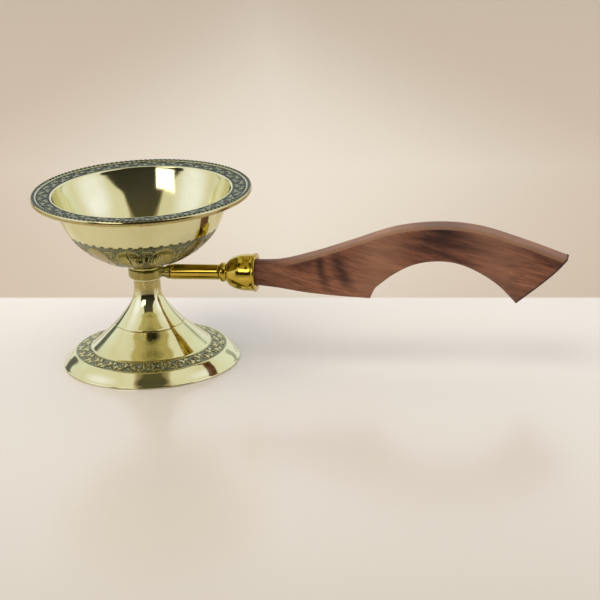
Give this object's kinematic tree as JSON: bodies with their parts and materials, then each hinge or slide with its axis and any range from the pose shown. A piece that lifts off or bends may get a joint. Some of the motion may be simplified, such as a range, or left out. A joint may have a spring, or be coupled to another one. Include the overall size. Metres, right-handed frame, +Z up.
{
  "type": "handled incense burner",
  "caption": "Flanged brass bowl on a hollow trumpet foot, with a brass arm that swivels on the central stud and a shaped wooden grip.",
  "frame": {"origin": "on the ground under the middle of the overall length; the foot's axis stands 74.5 mm towards -X from it", "axes": "+X along the arm from the foot towards the grip's tail, +Y across, +Z up along the bowl's axis"},
  "size_m": [0.254, 0.105, 0.0857],
  "materials": {
    "polished_brass": "turned and polished, dark patina in the chased bands",
    "cast_brass": "cast, lightly filed, olive tarnish",
    "golden_brass": "turned and lacquered",
    "steel": "zinc plated",
    "rosewood": "sanded and oiled"
  },
  "bodies": {
    "pedestal": {"bowl": "polished_brass", "foot": "polished_brass", "centre_stud": "steel", "flat_washer": "steel", "spring_washer": "steel", "hex_nut": "steel"},
    "arm": {"arm_eye": "cast_brass", "arm_rod": "golden_brass", "ferrule": "golden_brass", "grip_screw": "steel", "wood_grip": "rosewood"}
  },
  "joints": [
    {"name": "arm_swivel", "type": "hinge", "parent": "pedestal", "child": "arm", "pos_m": [-0.0745, 0, 0.0446], "axis": [0, 0, 1], "continuous": true}
  ]
}
